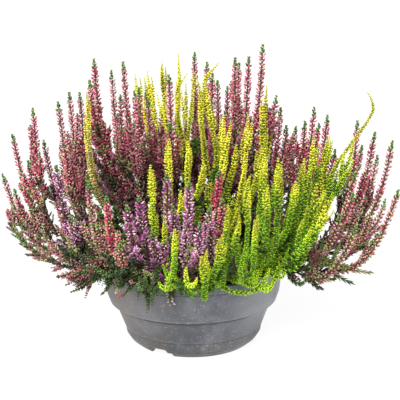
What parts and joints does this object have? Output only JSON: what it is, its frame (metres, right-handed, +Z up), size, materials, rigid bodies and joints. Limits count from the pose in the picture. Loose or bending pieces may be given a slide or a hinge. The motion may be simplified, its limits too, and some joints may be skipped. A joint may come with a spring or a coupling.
{
  "type": "potted heather",
  "caption": "Low round planting bowl filled with soil and planted with mixed heather: rose, crimson and lilac flower spikes and lime-green leafy shoots fanning out over the rim.",
  "frame": {"origin": "centre of the bowl's foot, on the floor that it stands on", "axes": "+Z up, +X to the plant's right as seen from its front, +Y towards its back"},
  "size_m": [0.4921, 0.3937, 0.378],
  "materials": {
    "bowl_plastic": "matte anthracite with fine splash marks",
    "potting_soil": "crumbly dark peat",
    "rose_heather": "matte florets on a green shoot",
    "crimson_heather": "matte florets on a green shoot",
    "lilac_heather": "matte florets on a green shoot",
    "lime_heather": "matte scale leaves",
    "green_heather": "matte scale leaves"
  },
  "bodies": {
    "root": {"bowl": "bowl_plastic", "soil": "potting_soil", "rose_spray_01": "rose_heather", "rose_spray_02": "rose_heather", "rose_spray_03": "rose_heather", "rose_spray_04": "rose_heather", "lime_spray_01": "lime_heather", "rose_spray_05": "rose_heather", "rose_spray_06": "rose_heather", "lime_spray_02": "lime_heather", "rose_spray_07": "rose_heather", "lime_spray_03": "lime_heather", "rose_spray_08": "rose_heather", "rose_spray_09": "rose_heather", "lime_spray_04": "lime_heather", "rose_spray_10": "rose_heather", "rose_spray_11": "rose_heather", "rose_spray_12": "rose_heather", "lime_spray_05": "lime_heather", "rose_spray_13": "rose_heather", "rose_spray_14": "rose_heather", "rose_spray_15": "rose_heather", "lime_spray_06": "lime_heather", "lime_spray_07": "lime_heather", "lime_spray_08": "lime_heather", "lime_spray_09": "lime_heather", "rose_spray_16": "rose_heather", "rose_spray_17": "rose_heather", "rose_spray_18": "rose_heather", "rose_spray_19": "rose_heather", "crimson_spray_01": "crimson_heather", "rose_spray_20": "rose_heather", "lilac_spray_01": "lilac_heather", "lilac_spray_02": "lilac_heather", "lilac_spray_03": "lilac_heather", "lilac_spray_04": "lilac_heather", "lilac_spray_05": "lilac_heather", "lime_spray_10": "lime_heather", "lime_spray_11": "lime_heather", "lime_spray_12": "lime_heather", "lime_spray_13": "lime_heather", "lime_spray_14": "lime_heather", "lime_spray_15": "lime_heather", "lime_spray_16": "lime_heather", "lime_spray_17": "lime_heather", "lime_spray_18": "lime_heather", "lime_spray_19": "lime_heather", "lime_spray_20": "lime_heather", "crimson_spray_02": "crimson_heather", "rose_spray_21": "rose_heather", "green_spray_01": "green_heather", "green_spray_02": "green_heather", "green_spray_03": "green_heather", "rose_spray_22": "rose_heather", "lilac_spray_06": "lilac_heather", "rose_spray_23": "rose_heather", "lime_spray_21": "lime_heather", "rose_spray_24": "rose_heather", "lilac_spray_07": "lilac_heather", "lime_spray_22": "lime_heather"}
  },
  "joints": []
}
